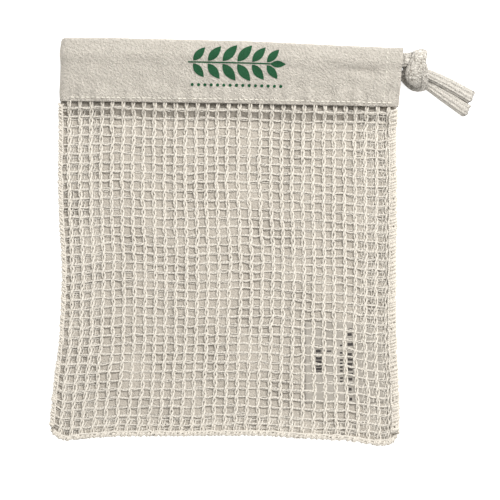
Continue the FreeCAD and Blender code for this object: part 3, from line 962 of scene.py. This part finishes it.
# ---- Overlocked edges ----
# Cotton thread looped close together over the raw edges of the net and the back, down both
# sides and along the closed end.
def overlocking(name, edge, way_in, wide, pitch, seed, fat, slant):
    """Slanting loops of thread round an edge given as a line of points, and the looper threads
    that lie along it inside the loops."""
    chance = np.random.default_rng(seed)
    ahead = np.gradient(edge, axis=0)
    along_edge = unit(np.array([ahead[:, 0].sum(), ahead[:, 1].sum(), 0.0]))
    run = np.concatenate([[0.0], np.cumsum(np.linalg.norm(np.diff(edge, axis=0), axis=1))])
    turns = int(run[-1] / pitch)
    steps = turns * 10 + 1
    at = np.linspace(0.0, run[-1], steps)
    turn = np.linspace(0.0, turns * 2 * math.pi, steps)

    def uneven_loops(values):
        return between(values, turn / 2 / math.pi)

    inward_share = 0.5 - 0.5 * np.cos(turn)
    place = at + slant * inward_share + uneven_loops(chance.normal(0, 0.7, turns + 2))
    x, y, top = (np.interp(place, run, edge[:, k]) for k in range(3))
    reach = wide * inward_share * uneven_loops(chance.uniform(0.7, 1.2, turns + 2)) - 0.15
    middle = (top + fat) / 2 + 0.05
    z = middle + (top - middle) * np.sin(turn)
    loops = np.stack([x + way_in[0] * reach, y + way_in[1] * reach, z], 1)[None]
    loopers = []
    x, y, top = (np.interp(at, run, edge[:, k]) for k in range(3))
    for depth, lift in [(d, 0.86) for d in np.arange(0.5, wide - 0.4, 0.9)] + [(wide * 0.92, 0.95)]:
        wag = depth + uneven_loops(chance.normal(0, 0.25, turns + 2))
        rise = top * lift + uneven_loops(chance.uniform(-0.35, 0.15, turns + 2))
        loopers.append(np.stack([x + way_in[0] * wag, y + way_in[1] * wag, rise], 1))
    return tubes_of(name, [
        (loops, fat + uneven_loops(chance.normal(0, 0.12, turns + 2)), 5, along_edge, 1.0, 0.0),
        (np.array(loopers), 0.5 + fat * 0.25, 5, (0.0, 0.0, 1.0), 0.8, 0.0),
    ], thread_wool)


thread_wool = Finish("overlock cotton", 0.93, 0.25)
place, along, around = thread_wool.along_and_round()
fuzz = thread_wool.cloudy(place, (2200.0, 4.0), 3.0, 0.7)
thread_wool.relief((along * 5200.0 + around * TWO_TURNS).sine() * 0.4 + fuzz, 0.00022)
thread_wool.colour(thread_wool.blend(
    fuzz * 0.6 + thread_wool.cloudy(place, (120.0, 0.5)) * 0.5 - 0.05,
    (0.54, 0.493, 0.42, 1.0), (0.69, 0.645, 0.57, 1.0),
))


def edge_line(start, stop):
    """Points along an edge of the bag, with the height that the net has there."""
    x, y = bag_place(np.linspace(start[0], stop[0], 120), np.linspace(start[1], stop[1], 120))
    slope = np.clip((depth_below(x, y) - BAND_DEPTH) / 17.0, 0.0, 1.0)
    return np.stack([x, y, 3.1 + 3.3 * eased_down(slope)], 1)


left_edge = overlocking(
    "left_overlocking", edge_line((0.0, 0.035), (0.0, 0.985)), (1.0, 0.0),
    wide=2.0, pitch=2.1, seed=71, fat=0.62, slant=0.9,
)
right_edge = overlocking(
    "right_overlocking", edge_line((1.0, 0.035), (1.0, 0.985)), (-1.0, 0.0),
    wide=4.5, pitch=2.0, seed=72, fat=0.8, slant=1.1,
)
end_edge = overlocking(
    "end_overlocking", edge_line((0.012, 1.0), (0.988, 1.0)), (0.0, 1.0),
    wide=2.4, pitch=2.1, seed=73, fat=0.72, slant=0.8,
)
for edge, node in (
    (left_edge, "left_overlocked_edge"),
    (right_edge, "right_overlocked_edge"),
    (end_edge, "end_overlocked_edge"),
):
    gathers(edge)
    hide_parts(node)


# ---- Care label ----
# A soft satin tape that lies on the back inside the bag and is seen through the net. Its right
# end is stitched at the side seam, and its marks are plain bars of dark ink.
LABEL_FROM, LABEL_TO = (45.5, -94.4), (96.0, -47.2)


def label_height(x, y):
    """The height of the tape's middle, whose free end lifts off the back a little."""
    lifted = np.clip((56.0 - x) / 11.0, 0.0, 1.0) ** 2
    return 1.2 + 0.35 * lifted + 0.1 * ripples(x, y, 20.0, 81)


x, y = np.meshgrid(
    np.linspace(LABEL_FROM[0], LABEL_TO[0], 44), np.linspace(LABEL_FROM[1], LABEL_TO[1], 42),
)
label_points = np.stack([x, y, label_height(x, y)], 2)
# The satin's colours are far darker than white satin: painted shade of the net over the label.
satin = Finish("white satin in painted shade", 0.45, 0.1)
place, along, around = satin.along_and_round()
satin.relief((along * 22000.0).sine() * 0.5 + satin.cloudy(place, (200.0, 3000.0)), 0.00012)
satin.colour(satin.blend(
    satin.cloudy(place, (60.0, 900.0)), (0.36, 0.328, 0.282, 1.0), (0.44, 0.407, 0.355, 1.0),
))
label = cloth_of("care_label_tape", label_points, label_points[:, :, :2] * MM, 0.2, satin)
gathers(label)
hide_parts("care_label")

mark_ink = Finish("dark label ink", 0.6)
place = mark_ink.along_and_round()[0]
mark_ink.colour(mark_ink.blend(
    mark_ink.cloudy(place, (1200.0, 1200.0)), (0.015, 0.013, 0.012, 1.0), (0.06, 0.053, 0.046, 1.0),
))


def label_marks(bars_of_ink):
    """Flat bars of ink on the tape, each from x to x and from y to y."""
    points, faces, lay = [], [], []
    for x0, x1, y0, y1 in bars_of_ink:
        number = max(2, int((y1 - y0) / 1.2) + 1)
        base = len(points)
        for k in range(number):
            y = y0 + (y1 - y0) * k / (number - 1)
            for x in (x0, x1):
                points.append((x, y, float(label_height(x, y)) + 0.14))
        for k in range(number - 1):
            ring = (base + 2 * k, base + 2 * k + 1, base + 2 * k + 3, base + 2 * k + 2)
            faces.append(ring)
            lay += [tuple(np.array(points[n][:2]) * MM) for n in ring]
    return piece_of("label_marks", np.array(points) * MM, faces, lay, mark_ink)


chance = np.random.default_rng(83)
marks_to_print = [(58.0, 60.8, -64.6, -63.8)]
for x0, x1, short, bar, start, stop, pitch in (
    (51.8, 55.4, 0.8, 1.7, -77.6, -64.5, 2.1),
    (65.8, 67.8, 0.7, 1.1, -82.5, -60.5, 2.1),
    (70.2, 73.6, 1.2, 1.7, -93.0, -50.0, 2.9),
):
    for y in np.arange(start, stop, pitch):
        marks_to_print.append((x0, x1 - chance.uniform(0.0, short), y, y + bar))
marks = label_marks(marks_to_print)
gathers(marks)
places = []
for n in range(15):
    foot, seam_x = LABEL_FROM[1] + 1.5 + n * PITCH, LABEL_TO[0] - 1.8
    places.append(((seam_x, foot, 1.35), (seam_x, foot + STITCH, 1.35), 0.45))
label_seam = bars("care_label_stitching", places)
gathers(label_seam)
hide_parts("care_label_stitch")


# ---- Table and light ----
# A white table under a large soft lamp at the upper right, and an even white room.
paper = Finish("white table", 0.9)
paper.colour(paper.blend(
    paper.node("ShaderNodeTexNoise", {}, {"Scale": 3.0}), (0.93, 0.93, 0.93, 1.0), (0.95, 0.95, 0.95, 1.0),
))
paper.shader.inputs["Emission Color"].default_value = (1.0, 1.0, 1.0, 1.0)
paper.shader.inputs["Emission Strength"].default_value = 0.62
bpy.ops.mesh.primitive_plane_add(size=6.0, location=(0.0, 0.0, -0.0002))
table = bpy.context.object
table.name = "table"
table.data.materials.append(paper.material)
bpy.ops.object.select_all(action="DESELECT")
table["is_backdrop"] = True
lamp = bpy.data.lights.new("window", "AREA")
lamp.shape, lamp.size, lamp.energy = "DISK", 1.15, 39.0
window = bpy.data.objects.new("window", lamp)
window.location = (0.72, 0.95, 1.3)
window.rotation_euler = (-window.location).to_track_quat("-Z", "Y").to_euler()
bpy.context.scene.collection.objects.link(window)
room = bpy.data.worlds.new("room")
room.use_nodes = True
room.node_tree.nodes["Background"].inputs[0].default_value = (1.0, 1.0, 1.0, 1.0)
room.node_tree.nodes["Background"].inputs[1].default_value = 0.80
bpy.context.scene.world = room
bpy.context.scene.view_settings.view_transform = "Standard"
bpy.context.scene.view_settings.look = "None"

low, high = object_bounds()
